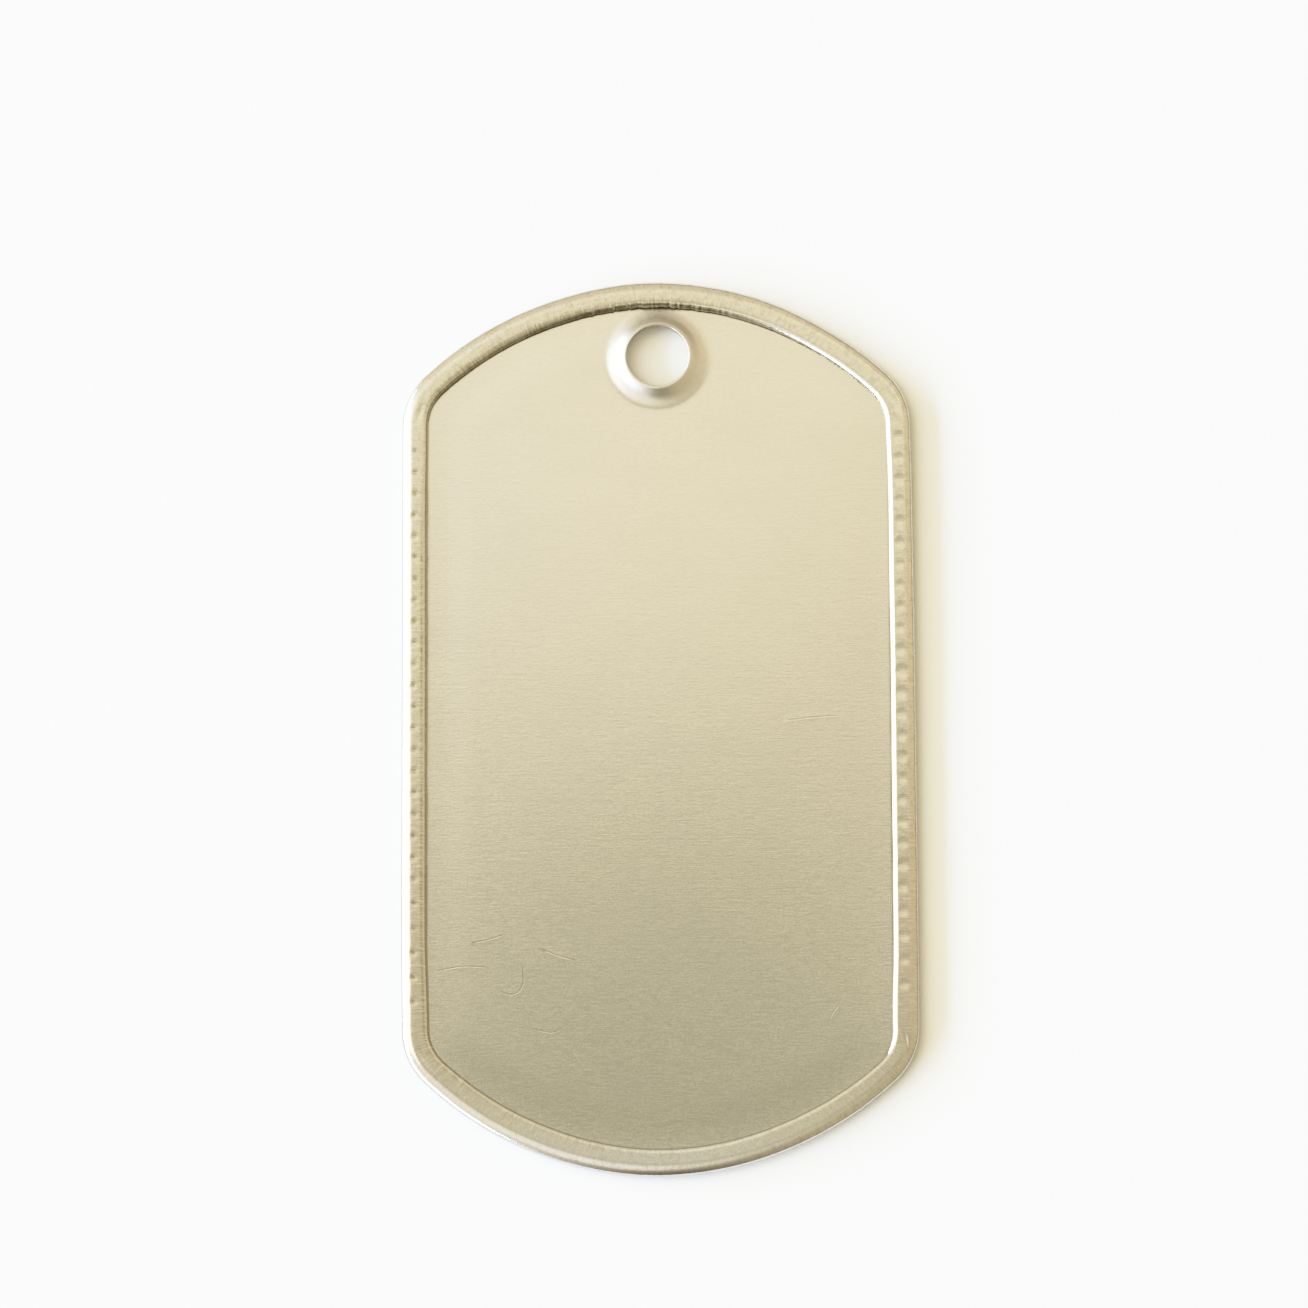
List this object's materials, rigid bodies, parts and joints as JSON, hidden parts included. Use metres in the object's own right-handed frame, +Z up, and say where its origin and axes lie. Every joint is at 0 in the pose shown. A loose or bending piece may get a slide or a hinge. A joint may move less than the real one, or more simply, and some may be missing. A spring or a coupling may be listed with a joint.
{
  "type": "identification tag",
  "caption": "Blank stamped steel identification tag, lying back up, with a folded rim and a raised collar round the chain hole.",
  "frame": {"origin": "on the surface the tag lies on, under the middle of its length and width", "axes": "+Z up through the back face, +Y along the length towards the chain hole, +X across the width"},
  "size_m": [0.0286, 0.0508, 0.001],
  "materials": {
    "satin_steel": "satin, with fine brushing across the width and light handling scratches"
  },
  "bodies": {
    "root": {"tag": "satin_steel"}
  },
  "joints": []
}
